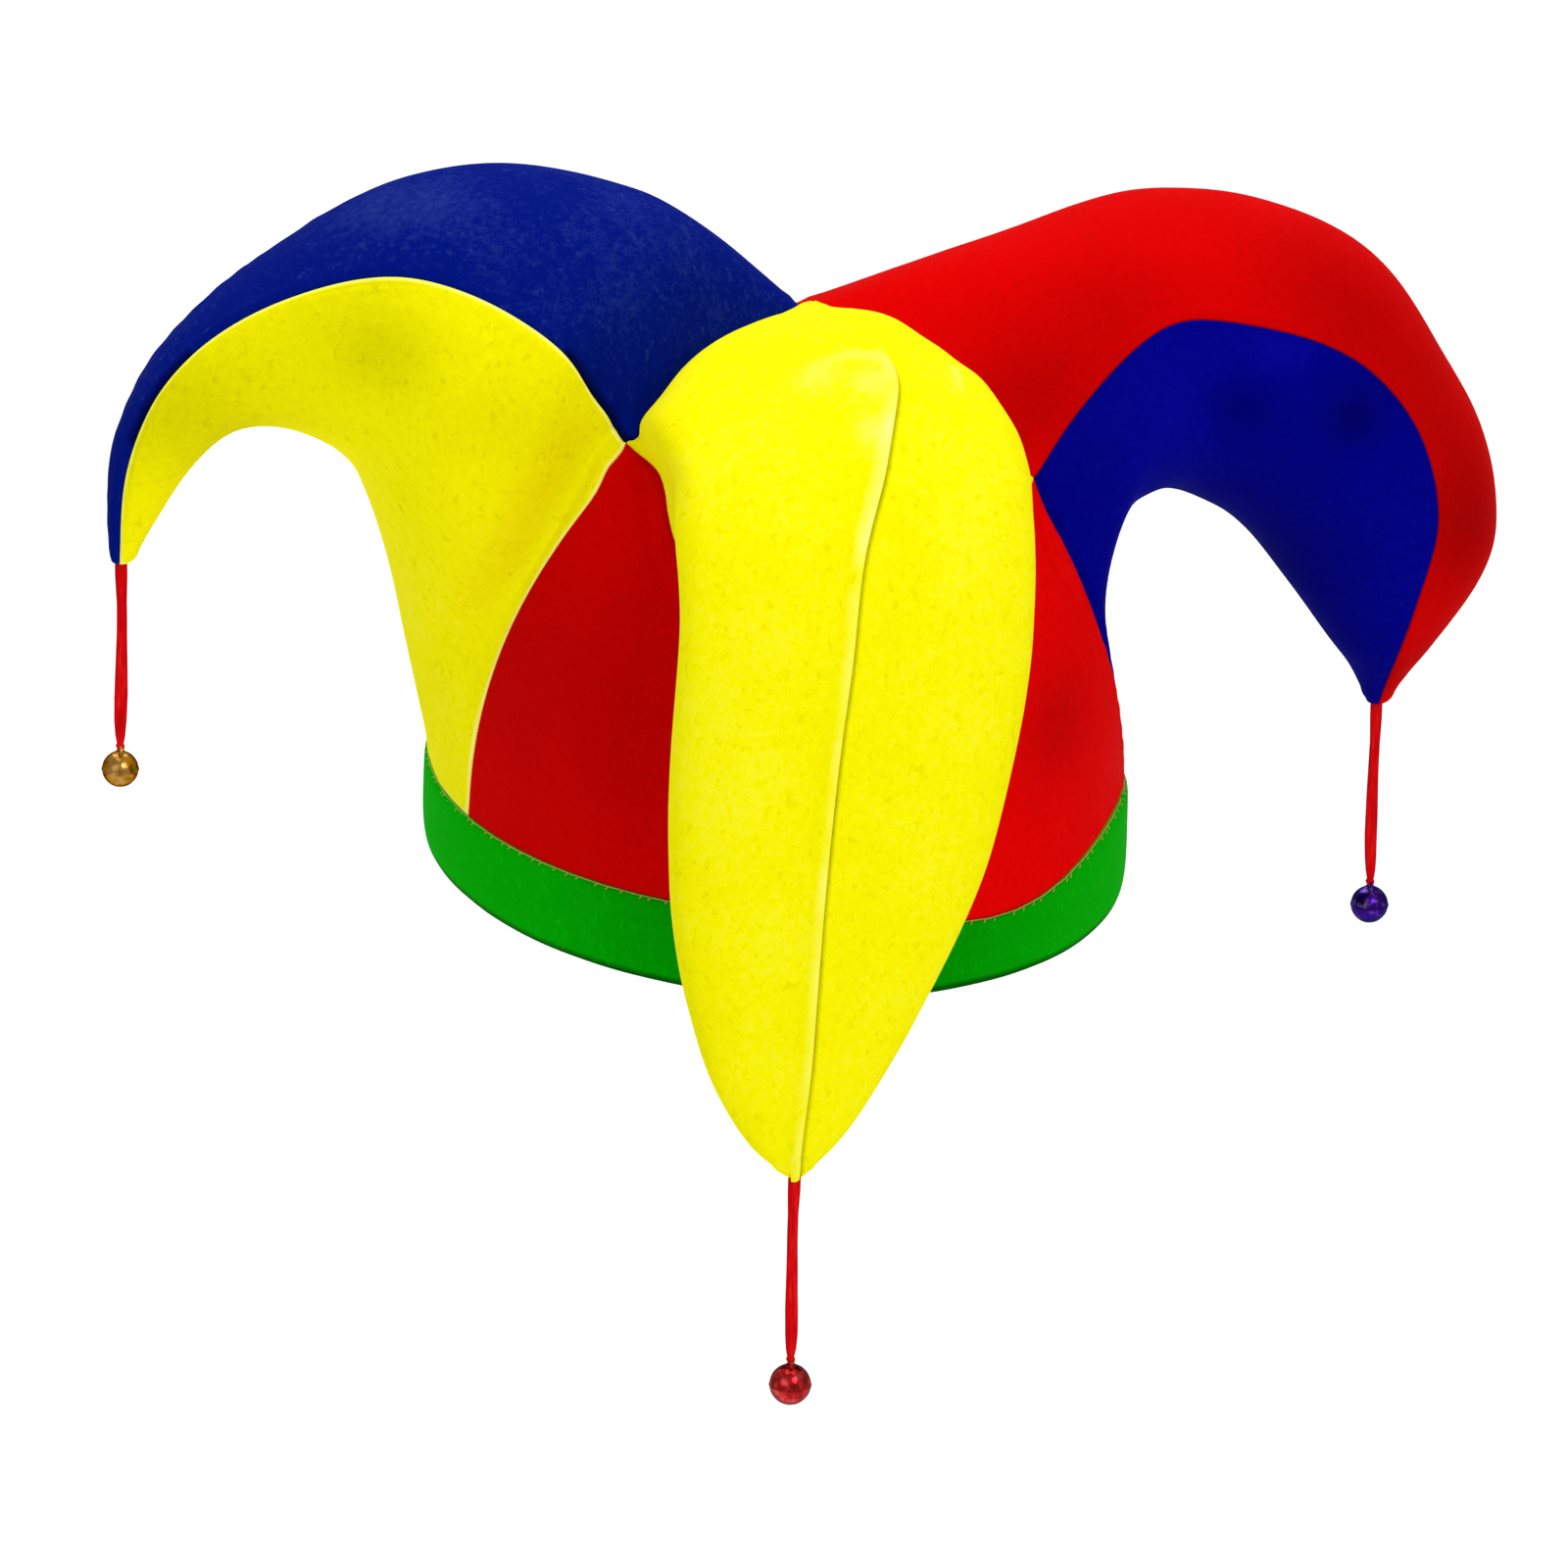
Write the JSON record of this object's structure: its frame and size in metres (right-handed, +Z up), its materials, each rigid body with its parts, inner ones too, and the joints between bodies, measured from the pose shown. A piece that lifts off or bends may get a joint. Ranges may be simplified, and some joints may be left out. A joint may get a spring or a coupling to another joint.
{
  "type": "clown hat",
  "caption": "Soft felt jester hat with drooping coloured horns, pointed gussets, a plain head band and a jingle bell on a ribbon at each horn's tip.",
  "frame": {"origin": "middle of the rim, in the plane where the band sits on a head", "axes": "+Z up out of the head, +X towards the viewer's right as seen from the front, -Y towards the front horn"},
  "size_m": [0.3593, 0.2543, 0.2744],
  "materials": {
    "green_felt": "matte felt",
    "red_felt": "matte felt",
    "blue_felt": "matte felt",
    "yellow_felt": "matte felt",
    "red_satin": "satin",
    "gold_bell": "polished",
    "red_bell": "glossy metallic",
    "purple_bell": "glossy metallic"
  },
  "bodies": {
    "root": {"band": "green_felt", "gusset_front_left": "red_felt", "gusset_front_right": "red_felt", "gusset_back": "red_felt", "left_horn_upper": "blue_felt", "left_horn_lower": "yellow_felt", "right_horn_upper": "red_felt", "right_horn_lower": "blue_felt", "front_horn_left": "yellow_felt", "front_horn_right": "yellow_felt", "left_ribbon": "red_satin", "right_ribbon": "red_satin", "front_ribbon": "red_satin", "left_bell": "gold_bell", "right_bell": "purple_bell", "front_bell": "red_bell"}
  },
  "joints": []
}
